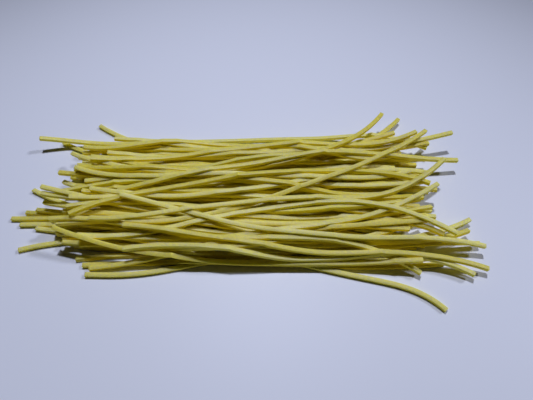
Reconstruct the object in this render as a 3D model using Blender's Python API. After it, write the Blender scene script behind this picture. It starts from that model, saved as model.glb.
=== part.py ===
"""A loose heap of long, square-cut dry pasta strands, as one closed body."""
import math

import bmesh
import bpy
import numpy as np

MM = 0.001

# One strand, in millimetres. They are all about 220 mm long.
WIDTH = 2.7
THICKNESS = 2.4
STATIONS = 111
LIFT = 0.4
# How far a strand beds into the one under it, so that they are one body.
BEDDING = 0.3
# Each strand sits a hair above the last, so that no two faces are level.
OWN_LEVEL = 0.004

# How a strand sags on to what lies under it.
STIFFNESS = 125.0
SETTLE_STEPS = 300
SETTLE_DROP = 0.08
END_DROP = 0.25
RESTS_ON = (-0.9, 0.0, 0.9)
COVERS = np.linspace(-1.15, 1.15, 5)

# The map of the heap's height, in cells of this many millimetres.
CELL = 1.0
MAP_CORNER = (-200.0, -110.0)
MAP_CELLS = (400, 220)

# The strands that can be told apart, from the bottom of the heap to the top, in millimetres:
# x of the left and right end, y at evenly spaced marks from the left end to the right end,
# and how far the left and right end curl up.
LOW_STRANDS = (
    (-93, 117, -54, -53, -46.5, -44, -50, -58, -75.5, 0, 0),
    (-101, 119, -45, -42, -44, -46, -43, 0, 0),
    (-96, 122, -47, -45.5, -46.5, -48, -46, 0, 0),
    (-138, 82, -38, -31, -34, -38, -42, 0, 0),
    (-132, 88, -23.5, -31, -36, -38, -36, 0, 0),
    (-111, 109, 66, 42, 36, 37, 46, 3, 5),
    (-134, 86, 49, 29, 22, 21, 21, 5, 0),
    (-142, 78, -12, -19.5, -28, -32, -34, 2, 0),
    (-143, 77, -20, -20.5, -25, -31, -32, 1, 0),
    (-150, 70, -14.5, -15.5, -16, -15.5, -16, 2, 0),
    (-143, 78, 6, -14.5, -22, -23, -25, 2, 0),
    (-134, 86, -11.5, -20, -26, -27, -28, 1, 0),
)
MIDDLE_STRANDS = (
    (-93, 115, 22, 14, 16, 29, 69, 0, 4),
    (-127, 93, -10, -16, -14.5, -14, -14, 0, 0),
    (-126, 94, -8, -11.5, -11.5, -11, -6.5, 1, 0),
    (-122, 98, 14, 9, 0, -11, -15, 1, 0),
    (-121, 99, 8.5, -4, -6, -11, -12, 1, 0),
    (-126, 94, -3, -14, -19, -19, -22, 1, 0),
    (-95, 125, 20, 20, 19, 23, 28, 1, 2),
    (-97, 125, 13.5, 8, 6, 4, -1.5, 1, 1),
    (-110, 112, -33, -38, -41, -36, -19.5, 0, 1),
    (-76, 146, -32, -37.5, -40, -37, -33, 1, 5),
    (-78, 145, -31, -37, -38, -34, -16, 1, 6),
    (-91, 141, -49, -41, -36, -36, -25, 1, 3),
    (-98, 122, -36, -40, -39, -25.5, -31, 1, 1),
    (-96, 127, 49, 48.5, 50.5, 50.5, 35, 1, 1),
    (-96, 128, 22, 17, 20, 29, 37, 1, 5),
    (-77, 145, 15.5, 17, 24, 34, 46, 1, 9),
    (-102, 120, -25, -31, -30, -24, -13, 1, 1),
    (-112, 109, 18, 6, 1, 12, 7, 1, 1),
    (-106, 112, -13, -5, 6, 12, 11.5, 1, 1),
    (-119, 101, 31, 13, 12, 17, 18, 1, 1),
)
TOP_STRANDS = (
    (-146, 74, 44, 45, 41, 38, 33, 12, 0),
    (-114, 106, 38, 42, 43, 26, 29, 1, 1),
    (-101, 119, 19, 28, 34, 33, 44, 0, 5),
    (-109, 99, 17, 13, 15, 24, 66, 1, 5),
    (-110, 110, 15, 7, 8, 8, 14, 1, 1),
    (-79, 146, -3, 8.5, 20, 24.5, 26, 1, 2),
    (-99, 123, -34, -36, -34, -25, -1.5, 0, 1),
    (-97, 129, -34, -28, -14.5, -12, -32, 0, 1),
    (-116, 106, -23.5, -29, -36, -37.5, -53, 0, 1),
    (-103, 119, -22.5, -2, 7, 13, 2, 0, 1),
    (-69, 127, -27, -20, -4, 16, 48, 1, 4),
    (-75, 147, -11, -25, -36.5, -37.5, -39.5, 1, 2),
    (-111, 106, -30.5, -43, -47, -47.5, -48, 3, 0),
    (-69, 137, -44.5, -44.5, -48, -46, -56.5, 1, 1),
    (-90, 130, -27, -20.5, -11.5, -8.5, 16, 0, 2),
    (-70, 146, -29, -36.5, -43, -44, -51, 1, 2),
)

# The strands lost in the pile are drawn at random inside these bounds.
BURIED_STRANDS = 54
BURIED_UNDER_MIDDLE = 42
BURIED_SPAN = 219.0
BURIED_SEED = 7

# How far each kind of strand may move sideways to lie lower, in millimetres.
BURIED_SHIFTS = (0.0, -8.0, -6.0, -4.0, -2.0, 2.0, 4.0, 6.0, 8.0)
MIDDLE_SHIFTS = (0.0, -1.5, 1.5)
TOP_SHIFTS = (0.0, -1.0, 1.0)

# The core that fills the pile under the strands that show.
CORE_COLUMNS = 14
CORE_ROWS = 6
CORE_DEPTH = 1.0
CORE_LEAST = 2.0
TUBE_STATIONS = 8


def strand_plan(left_x, right_x, *marks):
    """The strand seen from above: a smooth line through marks evenly spaced along x."""
    u = np.linspace(0.0, 1.0, STATIONS)
    line = np.polyfit(np.linspace(0.0, 1.0, len(marks)), marks, len(marks) - 1)
    return np.column_stack((left_x + (right_x - left_x) * u, np.polyval(line, u)))


def sag_matrix():
    """Smooths a strand's height as its stiffness would."""
    bend = np.zeros((STATIONS - 2, STATIONS))
    for row in range(STATIONS - 2):
        bend[row, row:row + 3] = (1.0, -2.0, 1.0)
    return np.linalg.inv(np.eye(STATIONS) + STIFFNESS * bend.T @ bend)


def map_cells(points):
    cells = np.floor((points - MAP_CORNER) / CELL).astype(int)
    return cells[:, 0], cells[:, 1]


def beside(plan, offset):
    """The plan line moved sideways by a fixed distance."""
    step = np.gradient(plan, axis=0)
    step /= np.linalg.norm(step, axis=1)[:, None]
    return plan + offset * np.column_stack((-step[:, 1], step[:, 0]))


def settle(heights, plan, left_curl, right_curl, sag):
    """Lets a strand down on the heap until it rests, its ends curling up a little."""
    u = np.linspace(-1.0, 1.0, STATIONS)
    rest = np.where(u < 0.0, left_curl, right_curl) * u ** 2
    below = [heights[map_cells(beside(plan, offset))] for offset in RESTS_ON]
    least = np.max(below, axis=0) + THICKNESS / 2.0 - BEDDING
    z = rest + np.max(least - rest)
    drop = SETTLE_DROP * (1.0 - (1.0 - END_DROP) * u ** 4)
    for _ in range(SETTLE_STEPS):
        z = np.maximum(least, rest + sag @ (z - rest) - drop)
    return z


def add_to_map(heights, plan, z):
    for offset in COVERS:
        fine = np.linspace(0, STATIONS - 1, 3 * STATIONS)
        line = beside(plan, offset)
        dense = np.column_stack([np.interp(fine, np.arange(STATIONS), line[:, axis]) for axis in (0, 1)])
        top = np.interp(fine, np.arange(STATIONS), z) + THICKNESS / 2.0
        np.maximum.at(heights, map_cells(dense), top)


def buried_strands():
    """Strands drawn at random, spread evenly across the heap."""
    rng = np.random.default_rng(BURIED_SEED)
    strands = []
    for index in range(BURIED_STRANDS):
        left_x = rng.uniform(-120.0, -95.0)
        left_y = -27.0 + 61.0 * (index * 0.618034 % 1.0)
        right_y = min(max(left_y + rng.normal(0.0, 11.0), -28.0), 36.0)
        middle = (left_y + right_y) / 2.0 + rng.normal(0.0, 5.0)
        sway = rng.normal(0.0, 3.0)
        quarters = ((left_y + middle) / 2.0 + sway, (right_y + middle) / 2.0 - sway)
        marks = (left_y, quarters[0], middle, quarters[1], right_y)
        strands.append((left_x, left_x + BURIED_SPAN, *marks, 1.0, 1.0))
    return strands


def settled_heap():
    """Every strand as an array of centre points, and the map of the heap's height."""
    buried = buried_strands()
    order = [(row, TOP_SHIFTS) for row in LOW_STRANDS]
    order += [(row, BURIED_SHIFTS) for row in buried[:BURIED_UNDER_MIDDLE]]
    order += [(row, MIDDLE_SHIFTS) for row in MIDDLE_STRANDS]
    order += [(row, BURIED_SHIFTS) for row in buried[BURIED_UNDER_MIDDLE:]]
    order += [(row, TOP_SHIFTS) for row in TOP_STRANDS]
    sag = sag_matrix()
    heights = np.full(MAP_CELLS, LIFT)
    strands = []
    for (*shape, left_curl, right_curl), shifts in order:
        tries = []
        for shift in shifts:
            plan = strand_plan(*shape)
            plan[:, 1] += shift
            tries.append((plan, settle(heights, plan, left_curl, right_curl, sag)))
        plan, z = min(tries, key=lambda found: found[1].mean())
        add_to_map(heights, plan, z)
        strands.append(np.column_stack((plan, z)))
    return strands, heights


def low_surface(heights, x, y):
    """A low level of the heap around a point, so that the strands stand above it."""
    column = int((x - MAP_CORNER[0]) / CELL)
    row = int((y - MAP_CORNER[1]) / CELL)
    window = heights[column - 7:column + 8, row - 4:row + 5]
    return float(np.percentile(window, 35)) - CORE_DEPTH


def core_edges(x):
    """The front and back limits of the pile, wavering along its length."""
    front = -37.0 + 1.5 * math.sin(x / 17.0) - 3.0 * (x / 100.0)
    back = 33.0 + 1.5 * math.sin(x / 13.0 + 1.0)
    return front, back


def make_core(heights):
    """A low mound under the strands, flat underneath."""
    mesh = bmesh.new()
    grid = []
    for column in range(CORE_COLUMNS + 1):
        share = column / CORE_COLUMNS
        x = -107.0 + 214.0 * share
        front, back = core_edges(x)
        line = []
        for row in range(CORE_ROWS + 1):
            y = front + (back - front) * row / CORE_ROWS
            inset = 3.0 * math.sin(1.7 * row) if column in (0, CORE_COLUMNS) else 0.0
            height = max(CORE_LEAST, low_surface(heights, x + inset, y))
            line.append(mesh.verts.new(((x + inset) * MM, y * MM, height * MM)))
        grid.append(line)
    for column in range(CORE_COLUMNS):
        for row in range(CORE_ROWS):
            a, b = grid[column][row], grid[column + 1][row]
            c, d = grid[column + 1][row + 1], grid[column][row + 1]
            mesh.faces.new((a, b, c, d))
    rim = [grid[column][0] for column in range(CORE_COLUMNS)]
    rim += [grid[CORE_COLUMNS][row] for row in range(CORE_ROWS)]
    rim += [grid[column][CORE_ROWS] for column in range(CORE_COLUMNS, 0, -1)]
    rim += [grid[0][row] for row in range(CORE_ROWS, 0, -1)]
    foot = [mesh.verts.new((vertex.co.x, vertex.co.y, 0.0)) for vertex in rim]
    for index in range(len(rim)):
        following = (index + 1) % len(rim)
        mesh.faces.new((rim[following], rim[index], foot[index], foot[following]))
    mesh.faces.new(list(reversed(foot)))
    return finish_mesh(mesh, "core")


def finish_mesh(mesh, name):
    bmesh.ops.triangulate(mesh, faces=list(mesh.faces))
    bmesh.ops.recalc_face_normals(mesh, faces=list(mesh.faces))
    data = bpy.data.meshes.new(name)
    mesh.to_mesh(data)
    mesh.free()
    return bpy.data.objects.new(name, data)


def shown_runs(strand, heights):
    """The stretches of a strand that stand clear of the core, with their ends inside it."""
    clear = []
    for x, y, z in strand:
        front, back = core_edges(x)
        outside = abs(x) > 104.0 or y < front + 1.0 or y > back - 1.0
        seen = z + THICKNESS / 2.0 > heights[map_cells(np.array([[x, y]]))][0] - 0.6
        clear.append(outside or (seen and z > low_surface(heights, x, y)))
    runs = []
    start = None
    for index in range(STATIONS + 1):
        inside = index == STATIONS or not clear[index]
        if start is None and not inside:
            start = index
        elif start is not None and inside:
            runs.append((max(0, start - 4), min(STATIONS - 1, index + 3)))
            start = None
    joined = []
    for run in runs:
        if joined and run[0] - joined[-1][1] < 12:
            joined[-1] = (joined[-1][0], run[1])
        else:
            joined.append(run)
    return [run for run in joined if run[1] - run[0] >= 12]


def make_tube(points, name):
    """A square-cut strand through the given centre points."""
    mesh = bmesh.new()
    step = np.gradient(points, axis=0)
    step /= np.linalg.norm(step, axis=1)[:, None]
    side = np.column_stack((-step[:, 1], step[:, 0], np.zeros(len(points))))
    side /= np.linalg.norm(side, axis=1)[:, None]
    above = np.cross(step, side)
    rings = []
    for point, across, upward in zip(points, side, above):
        corners = []
        for turn_x, turn_y in ((-1, -1), (1, -1), (1, 1), (-1, 1)):
            corner = point + across * turn_x * WIDTH / 2.0 + upward * turn_y * THICKNESS / 2.0
            corners.append(mesh.verts.new(corner * MM))
        rings.append(corners)
    for first, second in zip(rings, rings[1:]):
        for index in range(4):
            following = (index + 1) % 4
            mesh.faces.new((first[index], first[following], second[following], second[index]))
    mesh.faces.new(list(reversed(rings[0])))
    mesh.faces.new(rings[-1])
    return finish_mesh(mesh, name)


def thinned(strand, run):
    """The centre points of a run, one every few stations."""
    count = max(2, round((run[1] - run[0]) / TUBE_STATIONS))
    where = np.linspace(run[0], run[1], count + 1)
    return np.column_stack([np.interp(where, np.arange(STATIONS), strand[:, axis]) for axis in range(3)])


def unite(base, pieces):
    """Joins the pieces on to the base with one Boolean."""
    group = bpy.data.collections.new("pieces")
    bpy.context.scene.collection.children.link(group)
    for piece in pieces:
        group.objects.link(piece)
    bpy.context.scene.collection.objects.link(base)
    union = base.modifiers.new("union", "BOOLEAN")
    union.operation = "UNION"
    union.operand_type = "COLLECTION"
    union.collection = group
    union.solver = "EXACT"
    bpy.ops.object.select_all(action="DESELECT")
    bpy.context.view_layer.objects.active = base
    base.select_set(True)
    bpy.ops.object.modifier_apply(modifier=union.name)
    for piece in pieces:
        bpy.data.objects.remove(piece, do_unlink=True)
    bpy.data.collections.remove(group)


def mesh_islands(mesh):
    """The connected parts of the mesh, as lists of faces."""
    waiting = set(mesh.faces)
    islands = []
    while waiting:
        stack = [waiting.pop()]
        island = []
        while stack:
            face = stack.pop()
            island.append(face)
            for edge in face.edges:
                for neighbour in edge.link_faces:
                    if neighbour in waiting:
                        waiting.remove(neighbour)
                        stack.append(neighbour)
        islands.append(island)
    return islands


def keep_outer_body(obj):
    """Fills sealed hollows and drops loose scraps, leaving one closed body."""
    mesh = bmesh.new()
    mesh.from_mesh(obj.data)
    bmesh.ops.triangulate(mesh, faces=list(mesh.faces))
    islands = sorted(mesh_islands(mesh), key=len)
    for island in islands[:-1]:
        bmesh.ops.delete(mesh, geom=island, context="FACES")
    loose = [vertex for vertex in mesh.verts if not vertex.link_faces]
    bmesh.ops.delete(mesh, geom=loose, context="VERTS")
    mesh.to_mesh(obj.data)
    mesh.free()


def centre_on_floor(obj):
    """Moves the mesh so that its box is centred and stands at z = 0."""
    points = np.array([vertex.co for vertex in obj.data.vertices])
    low = points.min(axis=0)
    high = points.max(axis=0)
    middle = (low + high) / 2.0
    for vertex in obj.data.vertices:
        vertex.co.x -= middle[0]
        vertex.co.y -= middle[1]
        vertex.co.z -= low[2]


def pasta_material():
    material = bpy.data.materials.new("dry pasta")
    material.use_nodes = True
    shader = material.node_tree.nodes["Principled BSDF"]
    shader.inputs["Base Color"].default_value = (0.63, 0.55, 0.20, 1.0)
    shader.inputs["Roughness"].default_value = 0.7
    return material


def build():
    for obj in list(bpy.data.objects):
        bpy.data.objects.remove(obj, do_unlink=True)
    strands, heights = settled_heap()
    core = make_core(heights)
    pieces = []
    for number, strand in enumerate(strands):
        own_level = (0.0, 0.0, OWN_LEVEL * number)
        for run in shown_runs(strand, heights):
            points = thinned(strand, run) + own_level
            pieces.append(make_tube(points, f"strand {number} from {run[0]}"))
    unite(core, pieces)
    keep_outer_body(core)
    centre_on_floor(core)
    core.name = "pasta_heap"
    core.data.name = "pasta_heap"
    core.data.materials.append(pasta_material())


build()
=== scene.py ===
import math

import bpy
import numpy as np
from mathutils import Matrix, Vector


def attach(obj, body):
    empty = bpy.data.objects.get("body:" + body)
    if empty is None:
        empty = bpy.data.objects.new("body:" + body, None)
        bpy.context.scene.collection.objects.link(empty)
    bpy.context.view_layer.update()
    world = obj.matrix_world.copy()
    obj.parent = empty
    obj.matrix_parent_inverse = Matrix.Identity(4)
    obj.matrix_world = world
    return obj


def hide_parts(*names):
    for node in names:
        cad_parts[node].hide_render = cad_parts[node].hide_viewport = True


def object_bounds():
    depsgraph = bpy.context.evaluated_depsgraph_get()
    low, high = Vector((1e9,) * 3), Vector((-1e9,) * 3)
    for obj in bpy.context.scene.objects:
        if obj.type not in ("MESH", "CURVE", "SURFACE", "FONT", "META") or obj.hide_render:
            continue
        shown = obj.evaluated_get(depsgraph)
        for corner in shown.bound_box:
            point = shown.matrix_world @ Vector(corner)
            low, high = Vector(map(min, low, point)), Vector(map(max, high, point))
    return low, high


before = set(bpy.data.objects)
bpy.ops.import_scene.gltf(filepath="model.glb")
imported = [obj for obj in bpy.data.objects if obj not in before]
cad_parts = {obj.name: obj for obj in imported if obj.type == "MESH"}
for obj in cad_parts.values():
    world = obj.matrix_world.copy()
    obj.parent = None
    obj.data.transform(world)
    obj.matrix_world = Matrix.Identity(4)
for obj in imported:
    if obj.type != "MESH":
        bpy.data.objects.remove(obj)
cad_low, cad_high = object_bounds()

MM = 0.001

# One strand, in millimetres. Each is stretched or shortened a little to its own length.
LENGTH = 220.0
WIDTH = 2.7
THICKNESS = 2.4
# The points along its middle line that are worked out.
STATIONS = 111
# The height that the table counts as, and how far a strand beds into what it lies on.
LIFT = 0.4
BEDDING = 0.3

# How a strand sags on to what lies under it: its stiffness, the rounds of letting it down,
# how far its middle comes down in each round, and the share of that at its ends.
STIFFNESS = 125.0
SETTLE_STEPS = 300
SETTLE_DROP = 0.08
END_DROP = 0.25
# The lines of a strand that rest on the heap and that cover it, by how far from its middle they are.
RESTS_ON = (-0.9, 0.0, 0.9)
COVERS = np.linspace(-1.15, 1.15, 5)

# The map of the heap's height, in millimetres, and the points of a strand that are marked on it.
CELL = 1.0
MAP_CORNER = (-200.0, -110.0)
MAP_CELLS = (400, 220)
MAP_STATIONS = 3 * STATIONS

# The strands that can be told apart, from the bottom of the heap to the top, in millimetres:
# x of the left and right end, y at evenly spaced marks from the left end to the right end,
# and how far the left and right end curl up.
LOW_STRANDS = (
    (-93, 117, -54, -53, -46.5, -44, -50, -58, -75.5, 0, 0),
    (-101, 119, -45, -42, -44, -46, -43, 0, 0),
    (-96, 122, -47, -45.5, -46.5, -48, -46, 0, 0),
    (-138, 82, -38, -31, -34, -38, -42, 0, 0),
    (-132, 88, -23.5, -31, -36, -38, -36, 0, 0),
    (-111, 109, 66, 42, 36, 37, 46, 3, 5),
    (-134, 86, 49, 29, 22, 21, 21, 5, 0),
    (-142, 78, -12, -19.5, -28, -32, -34, 2, 0),
    (-143, 77, -20, -20.5, -25, -31, -32, 1, 0),
    (-150, 70, -14.5, -15.5, -16, -15.5, -16, 2, 0),
    (-143, 78, 6, -14.5, -22, -23, -25, 2, 0),
    (-134, 86, -11.5, -20, -26, -27, -28, 1, 0),
)
MIDDLE_STRANDS = (
    (-93, 115, 22, 14, 16, 29, 69, 0, 4),
    (-127, 93, -10, -16, -14.5, -14, -14, 0, 0),
    (-126, 94, -8, -11.5, -11.5, -11, -6.5, 1, 0),
    (-122, 98, 14, 9, 0, -11, -15, 1, 0),
    (-121, 99, 8.5, -4, -6, -11, -12, 1, 0),
    (-126, 94, -3, -14, -19, -19, -22, 1, 0),
    (-95, 125, 20, 20, 19, 23, 28, 1, 2),
    (-97, 125, 13.5, 8, 6, 4, -1.5, 1, 1),
    (-110, 112, -33, -38, -41, -36, -19.5, 0, 1),
    (-76, 146, -32, -37.5, -40, -37, -33, 1, 5),
    (-78, 145, -31, -37, -38, -34, -16, 1, 6),
    (-91, 141, -49, -41, -36, -36, -25, 1, 3),
    (-98, 122, -36, -40, -39, -25.5, -31, 1, 1),
    (-96, 127, 49, 48.5, 50.5, 50.5, 35, 1, 1),
    (-96, 128, 22, 17, 20, 29, 37, 1, 5),
    (-77, 145, 15.5, 17, 24, 34, 46, 1, 9),
    (-102, 120, -25, -31, -30, -24, -13, 1, 1),
    (-112, 109, 18, 6, 1, 12, 7, 1, 1),
    (-106, 112, -13, -5, 6, 12, 11.5, 1, 1),
    (-119, 101, 31, 13, 12, 17, 18, 1, 1),
)
TOP_STRANDS = (
    (-146, 74, 44, 45, 41, 38, 33, 12, 0),
    (-114, 106, 38, 42, 43, 26, 29, 1, 1),
    (-101, 119, 19, 28, 34, 33, 44, 0, 5),
    (-109, 99, 17, 13, 15, 24, 66, 1, 5),
    (-110, 110, 15, 7, 8, 8, 14, 1, 1),
    (-79, 146, -3, 8.5, 20, 24.5, 26, 1, 2),
    (-99, 123, -34, -36, -34, -25, -1.5, 0, 1),
    (-97, 129, -34, -28, -14.5, -12, -32, 0, 1),
    (-116, 106, -23.5, -29, -36, -37.5, -53, 0, 1),
    (-103, 119, -22.5, -2, 7, 13, 2, 0, 1),
    (-69, 127, -27, -20, -4, 16, 48, 1, 4),
    (-75, 147, -11, -25, -36.5, -37.5, -39.5, 1, 2),
    (-111, 106, -30.5, -43, -47, -47.5, -48, 3, 0),
    (-69, 137, -44.5, -44.5, -48, -46, -56.5, 1, 1),
    (-90, 130, -27, -20.5, -11.5, -8.5, 16, 0, 2),
    (-70, 146, -29, -36.5, -43, -44, -51, 1, 2),
)

# The strands lost in the pile, in millimetres. Steps of the golden share spread them evenly in
# depth, and their left ends, slant, bow and sway are drawn at random.
BURIED_STRANDS = 54
BURIED_UNDER_MIDDLE = 42
BURIED_SPAN = 219.0
BURIED_LEFT_X = (-120.0, -95.0)
BURIED_LEFT_Y = -27.0
BURIED_DEPTH = 61.0
BURIED_RIGHT_Y = (-28.0, 36.0)
BURIED_SLANT = 11.0
BURIED_BOW = 5.0
BURIED_SWAY = 3.0
BURIED_CURL = 1.0
BURIED_SEED = 7
GOLDEN_SHARE = 0.618034

# How far each kind of strand may move sideways to lie lower, in millimetres.
BURIED_SHIFTS = (0.0, -8.0, -6.0, -4.0, -2.0, 2.0, 4.0, 6.0, 8.0)
MIDDLE_SHIFTS = (0.0, -1.5, 1.5)
TOP_SHIFTS = (0.0, -1.0, 1.0)

# The mesh of one strand, in millimetres, and the angle in degrees up to which it is shaded smooth.
LONG_CUTS = 69
EDGE_ROUNDING = 0.16
END_ROUNDING = 0.12
SMOOTH_BELOW = 25.0

# How far each strand is twisted about its own line, in radians, and in how many waves.
TWIST = 0.10
TWIST_WAVES = (0.5, 1.4)
LOOKS_SEED = 23

# The colours. Dough and the pale painted sheen on the tops go from the first to the second from one
# strand to another.
DEEP_DOUGH = "#f4de22"
PALE_DOUGH = "#fdf04c"
# The pale painted sheen that faces looking up get from the lamp above, drawn to look floury.
DULL_PAINTED_SHEEN = "#c3b34c"
PALE_PAINTED_SHEEN = "#d9cf8a"
STREAKS = "#f0cc1a"
PAPER = "#dedfe2"

# The dough's streaks are about 1.4 mm wide, and 8 times as long along x, as the strands lie.
STREAKS_IN_A_METRE = 700.0
STREAK_STRETCH = (0.12, 1.0, 1.0)
# The pale painted sheen on the tops, drawn to look floury, is broken into patches about 2.4 mm wide.
PATCHES_IN_A_METRE = 420.0
# A face looks up not at all where its normal rises by 0.3 or less, and wholly where it is level.
LOOKS_UP = {"From Min": 0.3, "From Max": 1.0}

# The sockets of a Mix node that blends colours.
MIX_SHARE = 0
MIX_FIRST = 6
MIX_SECOND = 7
MIX_RESULT = 2

# The camera's place and aim in the frame that the rows above are written in, in metres,
# its focal length and the picture's width in pixels, and its sensor in millimetres.
CAMERA_PLACE = (0.015, -0.14705, 0.22644)
CAMERA_AIM = (0.015, 0.0, 0.0)
FOCAL_PIXELS = 402.0
PICTURE_PIXELS = 533.0
SENSOR_WIDTH = 36.0

# The cool daylight colour of both lamps and of the room.
LAMP_COLOUR = (0.735, 0.785, 1.0)

# The spot lamp a metre above the table, just behind the heap, in metres, watts and degrees.
KEY_PLACE = (0.02, 0.32, 0.94)
KEY_AIM = (0.0, -0.09, 0.0)
KEY_POWER = 27.0
KEY_RADIUS = 0.026
KEY_CONE = 67.0

# The weaker, far lamp on the right, in degrees.
SIDE_AROUND = 20.0
SIDE_UP = 42.0
SIDE_STRENGTH = 1.2
SIDE_WIDTH = 6.0

ROOM_STRENGTH = 0.008
TABLE_SIZE = 4.0


def strand_plan(left_x, right_x, *marks):
    """The strand seen from above: a smooth line through marks evenly spaced along x."""
    u = np.linspace(0.0, 1.0, STATIONS)
    line = np.polyfit(np.linspace(0.0, 1.0, len(marks)), marks, len(marks) - 1)
    return np.column_stack((left_x + (right_x - left_x) * u, np.polyval(line, u)))


def sag_matrix():
    """Smooths a strand's height as its stiffness would."""
    bend = np.zeros((STATIONS - 2, STATIONS))
    for row in range(STATIONS - 2):
        bend[row, row:row + 3] = (1.0, -2.0, 1.0)
    return np.linalg.inv(np.eye(STATIONS) + STIFFNESS * bend.T @ bend)


def map_cells(points):
    """The cells of the height map that points lie in."""
    cells = np.floor((points - MAP_CORNER) / CELL).astype(int)
    return cells[:, 0], cells[:, 1]


def beside(plan, offset):
    """The plan line moved sideways by a fixed distance."""
    step = np.gradient(plan, axis=0)
    step /= np.linalg.norm(step, axis=1)[:, None]
    return plan + offset * np.column_stack((-step[:, 1], step[:, 0]))


def settle(heights, plan, left_curl, right_curl, sag):
    """Lets a strand down on the heap until it rests, its ends curling up a little."""
    u = np.linspace(-1.0, 1.0, STATIONS)
    rest = np.where(u < 0.0, left_curl, right_curl) * u ** 2
    below = [heights[map_cells(beside(plan, offset))] for offset in RESTS_ON]
    least = np.max(below, axis=0) + THICKNESS / 2.0 - BEDDING
    z = rest + np.max(least - rest)
    drop = SETTLE_DROP * (1.0 - (1.0 - END_DROP) * u ** 4)
    for _ in range(SETTLE_STEPS):
        z = np.maximum(least, rest + sag @ (z - rest) - drop)
    return z


def add_to_map(heights, plan, z):
    """Raises the height map to the top of a strand."""
    stations = np.arange(STATIONS)
    fine = np.linspace(0, STATIONS - 1, MAP_STATIONS)
    top = np.interp(fine, stations, z) + THICKNESS / 2.0
    for offset in COVERS:
        line = beside(plan, offset)
        dense = np.column_stack([np.interp(fine, stations, line[:, axis]) for axis in (0, 1)])
        np.maximum.at(heights, map_cells(dense), top)


def buried_strands():
    """Strands drawn at random, spread evenly across the heap."""
    rng = np.random.default_rng(BURIED_SEED)
    nearest, farthest = BURIED_RIGHT_Y
    strands = []
    for index in range(BURIED_STRANDS):
        left_x = rng.uniform(*BURIED_LEFT_X)
        left_y = BURIED_LEFT_Y + BURIED_DEPTH * (index * GOLDEN_SHARE % 1.0)
        right_y = min(max(left_y + rng.normal(0.0, BURIED_SLANT), nearest), farthest)
        middle = (left_y + right_y) / 2.0 + rng.normal(0.0, BURIED_BOW)
        sway = rng.normal(0.0, BURIED_SWAY)
        left_quarter = (left_y + middle) / 2.0 + sway
        right_quarter = (right_y + middle) / 2.0 - sway
        marks = (left_y, left_quarter, middle, right_quarter, right_y)
        strands.append((left_x, left_x + BURIED_SPAN, *marks, BURIED_CURL, BURIED_CURL))
    return strands


def settled_heap():
    """Every strand as an array of centre points in millimetres."""
    buried = buried_strands()
    order = [(row, TOP_SHIFTS) for row in LOW_STRANDS]
    order += [(row, BURIED_SHIFTS) for row in buried[:BURIED_UNDER_MIDDLE]]
    order += [(row, MIDDLE_SHIFTS) for row in MIDDLE_STRANDS]
    order += [(row, BURIED_SHIFTS) for row in buried[BURIED_UNDER_MIDDLE:]]
    order += [(row, TOP_SHIFTS) for row in TOP_STRANDS]
    sag = sag_matrix()
    heights = np.full(MAP_CELLS, LIFT)
    strands = []
    for (*shape, left_curl, right_curl), shifts in order:
        tries = []
        for shift in shifts:
            plan = strand_plan(*shape)
            plan[:, 1] += shift
            tries.append((plan, settle(heights, plan, left_curl, right_curl, sag)))
        plan, z = min(tries, key=lambda found: found[1].mean())
        add_to_map(heights, plan, z)
        strands.append(np.column_stack((plan, z)))
    return strands


def only(obj):
    """Makes one object the whole selection."""
    bpy.ops.object.select_all(action="DESELECT")
    obj.select_set(True)
    bpy.context.view_layer.objects.active = obj


def select_edges(obj, wanted):
    """Selects in edit mode the edges whose two end points pass the test."""
    bpy.ops.object.mode_set(mode="EDIT")
    bpy.ops.mesh.select_mode(type="EDGE")
    bpy.ops.mesh.select_all(action="DESELECT")
    bpy.ops.object.mode_set(mode="OBJECT")
    points = [vertex.co for vertex in obj.data.vertices]
    for edge in obj.data.edges:
        first, second = (points[index] for index in edge.vertices)
        edge.select = wanted(first, second)
    bpy.ops.object.mode_set(mode="EDIT")


def runs_along(first, second):
    """Whether an edge runs along the strand from one end to the other."""
    return abs(first.x - second.x) > LENGTH * MM / 2.0


def runs_across(first, second):
    """Whether an edge lies square across the strand."""
    return abs(first.x - second.x) < MM / 1000.0


def straight_strand():
    """One straight, square-cut strand lying along x, its left end at x = 0."""
    bpy.ops.object.select_all(action="DESELECT")
    bpy.ops.mesh.primitive_cube_add(size=1.0, location=(0.0, 0.0, 0.0))
    strand = bpy.context.object
    strand.name = "straight_strand"
    strand.scale = (LENGTH * MM, WIDTH * MM, THICKNESS * MM)
    strand.location.x = LENGTH * MM / 2.0
    bpy.ops.object.transform_apply(location=True, rotation=False, scale=True)
    select_edges(strand, runs_along)
    bpy.ops.mesh.bevel(offset=EDGE_ROUNDING * MM, segments=2, affect="EDGES")
    select_edges(strand, runs_across)
    bpy.ops.mesh.bevel(offset=END_ROUNDING * MM, segments=1, affect="EDGES")
    select_edges(strand, runs_along)
    bpy.ops.mesh.subdivide(number_cuts=LONG_CUTS)
    bpy.ops.object.mode_set(mode="OBJECT")
    return strand


def strand_route(points, tilts):
    """The centre line of a settled strand as a curve that a strand stretches to fit."""
    data = bpy.data.curves.new("route", "CURVE")
    data.dimensions = "3D"
    data.twist_mode = "Z_UP"
    data.use_stretch = True
    data.use_deform_bounds = True
    spline = data.splines.new("POLY")
    spline.points.add(len(points) - 1)
    for point, place, tilt in zip(spline.points, points, tilts):
        point.co = (*place, 1.0)
        point.tilt = tilt
    route = bpy.data.objects.new("route", data)
    bpy.context.scene.collection.objects.link(route)
    return route


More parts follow.
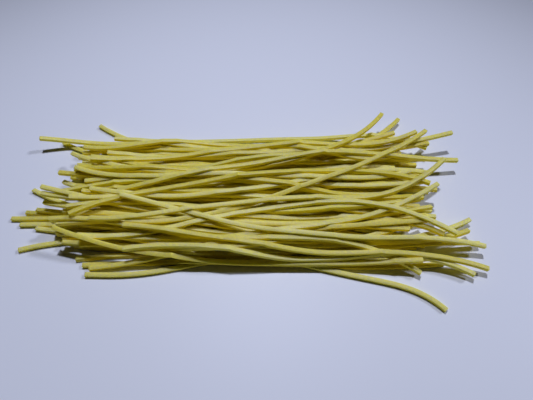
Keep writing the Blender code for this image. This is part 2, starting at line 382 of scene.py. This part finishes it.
def laid_strand(master, number, points, rng):
    """A copy of the straight strand, laid along its route and twisted a little."""
    strand = bpy.data.objects.new(f"strand_{number}", master.data.copy())
    bpy.context.scene.collection.objects.link(strand)
    u = np.linspace(0.0, 1.0, len(points))
    lean = rng.normal(0.0, TWIST)
    swing = rng.normal(0.0, TWIST)
    waves = u * rng.uniform(*TWIST_WAVES) + rng.uniform()
    route = strand_route(points * MM, lean + swing * np.sin(2.0 * np.pi * waves))
    follow = strand.modifiers.new("follow", "CURVE")
    follow.object = route
    follow.deform_axis = "POS_X"
    only(strand)
    bpy.ops.object.modifier_apply(modifier=follow.name)
    bpy.data.objects.remove(route, do_unlink=True)
    tone = strand.data.attributes.new("strand_tone", "FLOAT", "FACE")
    tone.data.foreach_set("value", [rng.uniform()] * len(strand.data.polygons))
    return strand


def lay_strands(routes):
    """All the strands of the heap as one piece. Each face keeps how far it looks up."""
    rng = np.random.default_rng(LOOKS_SEED)
    master = straight_strand()
    strands = [laid_strand(master, number, points, rng) for number, points in enumerate(routes)]
    bpy.data.objects.remove(master, do_unlink=True)
    bpy.ops.object.select_all(action="DESELECT")
    for strand in strands:
        strand.select_set(True)
    bpy.context.view_layer.objects.active = strands[0]
    bpy.ops.object.join()
    heap = bpy.context.object
    heap.name = "pasta_strands"
    bpy.ops.object.shade_smooth_by_angle(angle=math.radians(SMOOTH_BELOW))
    faces_up = heap.data.attributes.new("faces_up", "FLOAT", "FACE")
    faces_up.data.foreach_set("value", [face.normal.z for face in heap.data.polygons])
    return heap


def centre_on_cad(heap):
    """Moves the heap so that its box is centred on the CAD heap's, and returns the move."""
    points = np.array([vertex.co for vertex in heap.data.vertices])
    middle = (points.min(axis=0) + points.max(axis=0)) / 2.0
    move = [(cad_low[axis] + cad_high[axis]) / 2.0 - middle[axis] for axis in (0, 1)] + [0.0]
    heap.location = move
    only(heap)
    bpy.ops.object.transform_apply(location=True, rotation=False, scale=False)
    return np.array(move)


def hex_colour(text):
    """An sRGB hex colour as a linear colour with alpha."""
    channels = [int(text[index:index + 2], 16) / 255.0 for index in (1, 3, 5)]
    linear = [c / 12.92 if c <= 0.04045 else ((c + 0.055) / 1.055) ** 2.4 for c in channels]
    return (*linear, 1.0)


def add_node(tree, kind, settings=None, links=None):
    """Adds a node, sets its properties and sockets, and links other sockets to it."""
    node = tree.nodes.new(kind)
    for name, value in (settings or {}).items():
        if isinstance(name, int) or name in node.inputs:
            node.inputs[name].default_value = value
        else:
            setattr(node, name, value)
    for name, source in (links or {}).items():
        tree.links.new(source, node.inputs[name])
    return node


def streaked_dough(tree, place, tone):
    """The yellow of the dough, rolled into streaks that run along the strands."""
    doughs = {"data_type": "RGBA", MIX_FIRST: hex_colour(DEEP_DOUGH), MIX_SECOND: hex_colour(PALE_DOUGH)}
    dough = add_node(tree, "ShaderNodeMix", doughs, {MIX_SHARE: tone})
    along = add_node(tree, "ShaderNodeMapping", {"Scale": STREAK_STRETCH}, {"Vector": place})
    noise = add_node(tree, "ShaderNodeTexNoise", {"Scale": STREAKS_IN_A_METRE, "Detail": 2.0},
                     {"Vector": along.outputs["Vector"]})
    share = add_node(tree, "ShaderNodeMapRange", {"From Min": 0.35, "From Max": 0.75, "To Max": 0.45},
                     {"Value": noise.outputs["Fac"]})
    streaked = add_node(tree, "ShaderNodeMix", {"data_type": "RGBA", MIX_SECOND: hex_colour(STREAKS)},
                        {MIX_SHARE: share.outputs["Result"], MIX_FIRST: dough.outputs[MIX_RESULT]})
    return streaked.outputs[MIX_RESULT]


def dough_under_painted_sheen(tree, dough, tone, faces_up, sheen_and_grain_noise):
    """The dough under a pale painted sheen in patches on the faces that look up, drawn to look floury."""
    upward = add_node(tree, "ShaderNodeMapRange", LOOKS_UP, {"Value": faces_up})
    patches = add_node(tree, "ShaderNodeMapRange", {"From Min": 0.35, "From Max": 0.65, "To Min": 0.55},
                       {"Value": sheen_and_grain_noise})
    painted_sheen_share = add_node(tree, "ShaderNodeMath", {"operation": "MULTIPLY"},
                       {0: upward.outputs["Result"], 1: patches.outputs["Result"]})
    # The painted sheen: a paler colour where the lamp above shines on the tops.
    painted_sheen_colours = {"data_type": "RGBA", MIX_FIRST: hex_colour(DULL_PAINTED_SHEEN), MIX_SECOND: hex_colour(PALE_PAINTED_SHEEN)}
    painted_sheen_colour = add_node(tree, "ShaderNodeMix", painted_sheen_colours, {MIX_SHARE: tone})
    surface = add_node(tree, "ShaderNodeMix", {"data_type": "RGBA"},
                       {MIX_SHARE: painted_sheen_share.outputs["Value"], MIX_FIRST: dough,
                        MIX_SECOND: painted_sheen_colour.outputs[MIX_RESULT]})
    return surface.outputs[MIX_RESULT]


def dry_egg_pasta():
    """Dry egg pasta, rolled, cut and air dried: matt, a little see-through, with a pale painted sheen on
    top that looks floury.
    """
    material = bpy.data.materials.new("dry_egg_pasta")
    material.use_nodes = True
    tree = material.node_tree
    shader = tree.nodes["Principled BSDF"]
    place = add_node(tree, "ShaderNodeTexCoord").outputs["Object"]
    tone = add_node(tree, "ShaderNodeAttribute", {"attribute_name": "strand_tone"}).outputs["Fac"]
    faces_up = add_node(tree, "ShaderNodeAttribute", {"attribute_name": "faces_up"}).outputs["Fac"]
    sheen_and_grain_noise = add_node(tree, "ShaderNodeTexNoise",
                     {"Scale": PATCHES_IN_A_METRE, "Detail": 4.0, "Roughness": 0.7}, {"Vector": place})
    # The tops get a pale painted sheen over the dough.
    colour = dough_under_painted_sheen(tree, streaked_dough(tree, place, tone), tone, faces_up, sheen_and_grain_noise.outputs["Fac"])
    tree.links.new(colour, shader.inputs["Base Color"])
    grain = add_node(tree, "ShaderNodeBump", {"Strength": 0.5, "Distance": 0.3 * MM},
                     {"Height": sheen_and_grain_noise.outputs["Fac"]})
    tree.links.new(grain.outputs["Normal"], shader.inputs["Normal"])
    # The lamp above shines into the tops, and the sides glow less.
    glow = add_node(tree, "ShaderNodeMapRange", LOOKS_UP | {"To Min": 0.25, "To Max": 0.6},
                    {"Value": faces_up})
    tree.links.new(glow.outputs["Result"], shader.inputs["Subsurface Weight"])
    shader.inputs["Subsurface Radius"].default_value = (1.0, 0.95, 0.05)
    shader.inputs["Subsurface Scale"].default_value = 8.0 * MM
    shader.inputs["Subsurface Anisotropy"].default_value = 0.7
    shader.inputs["Roughness"].default_value = 0.48
    shader.inputs["IOR"].default_value = 1.45
    return material


def white_paper():
    """The plain matt paper under the heap."""
    material = bpy.data.materials.new("white_paper")
    material.use_nodes = True
    shader = material.node_tree.nodes["Principled BSDF"]
    shader.inputs["Base Color"].default_value = hex_colour(PAPER)
    shader.inputs["Roughness"].default_value = 0.5
    return material


def lay_table():
    """The sheet of paper that the heap lies on."""
    bpy.ops.object.select_all(action="DESELECT")
    bpy.ops.mesh.primitive_plane_add(size=TABLE_SIZE, location=(0.0, 0.0, 0.0))
    table = bpy.context.object
    table.name = "table"
    table.data.materials.append(white_paper())


def aim(obj, place, target):
    """Places an object and turns its -Z axis to the target."""
    obj.location = place
    direction = np.array(target) - np.array(place)
    flat = math.hypot(direction[0], direction[1])
    turn = math.atan2(direction[1], direction[0]) - math.pi / 2.0
    obj.rotation_euler = (math.atan2(flat, -direction[2]), 0.0, turn)


def add_key_lamp():
    """A spot lamp a metre above the table, just behind the heap."""
    data = bpy.data.lights.new("key", "SPOT")
    data.energy = KEY_POWER
    data.color = LAMP_COLOUR
    data.shadow_soft_size = KEY_RADIUS
    data.spot_size = math.radians(KEY_CONE)
    data.spot_blend = 1.0
    lamp = bpy.data.objects.new("key", data)
    bpy.context.scene.collection.objects.link(lamp)
    aim(lamp, KEY_PLACE, KEY_AIM)


def add_side_lamp():
    """A weaker, far lamp on the right."""
    data = bpy.data.lights.new("side", "SUN")
    data.energy = SIDE_STRENGTH
    data.color = LAMP_COLOUR
    data.angle = math.radians(SIDE_WIDTH)
    lamp = bpy.data.objects.new("side", data)
    bpy.context.scene.collection.objects.link(lamp)
    around = math.radians(SIDE_AROUND)
    up = math.radians(SIDE_UP)
    place = (math.cos(around) * math.cos(up), math.sin(around) * math.cos(up), math.sin(up))
    aim(lamp, place, (0.0, 0.0, 0.0))


def light_the_scene():
    """Two lamps in a dim room."""
    world = bpy.data.worlds.new("studio")
    bpy.context.scene.world = world
    world.use_nodes = True
    background = world.node_tree.nodes["Background"]
    background.inputs["Color"].default_value = (*LAMP_COLOUR, 1.0)
    background.inputs["Strength"].default_value = ROOM_STRENGTH
    add_key_lamp()
    add_side_lamp()


def add_camera(move):
    """The photograph's camera: 57 degrees above the table, 270 mm from its middle."""
    data = bpy.data.cameras.new("camera")
    data.sensor_width = SENSOR_WIDTH
    data.lens = FOCAL_PIXELS / PICTURE_PIXELS * SENSOR_WIDTH
    camera = bpy.data.objects.new("camera", data)
    bpy.context.scene.collection.objects.link(camera)
    aim(camera, move + CAMERA_PLACE, move + CAMERA_AIM)
    bpy.context.scene.camera = camera


heap = lay_strands(settled_heap())
heap_move = centre_on_cad(heap)
heap.data.materials.append(dry_egg_pasta())
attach(heap, "root")
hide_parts("pasta_heap")
lay_table()
light_the_scene()
add_camera(heap_move)
bpy.context.scene.view_settings.view_transform = "Standard"
